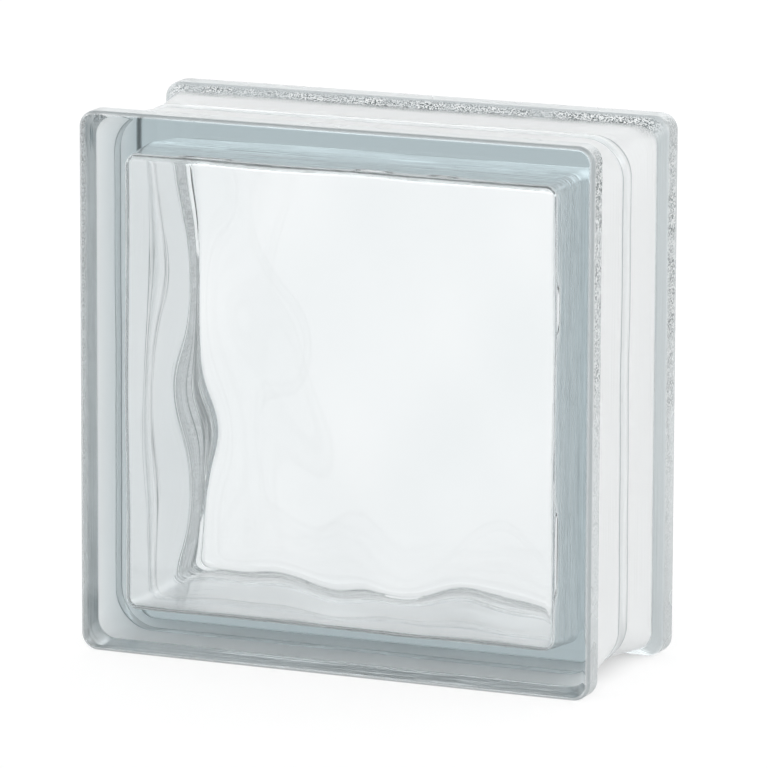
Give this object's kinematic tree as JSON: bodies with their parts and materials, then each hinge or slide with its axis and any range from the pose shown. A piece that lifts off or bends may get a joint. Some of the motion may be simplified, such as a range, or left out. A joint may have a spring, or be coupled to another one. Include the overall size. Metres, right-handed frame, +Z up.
{
  "type": "glass block",
  "caption": "Square hollow glass building block with flanged faces, a recessed mortar channel around its sides and wavy inner faces.",
  "frame": {"origin": "on the floor under the middle of the block, which stands upright on the edges of its two flanges", "axes": "+Z up, +Y from the front face to the rear face through the block's depth, +X to the right seen from the front"},
  "size_m": [0.19, 0.08, 0.19],
  "materials": {
    "glass": "clear pressed glass with a faint blue-green tint, satin around the sides and grained along the flange edges"
  },
  "bodies": {
    "root": {"glass_block": "glass"}
  },
  "joints": []
}
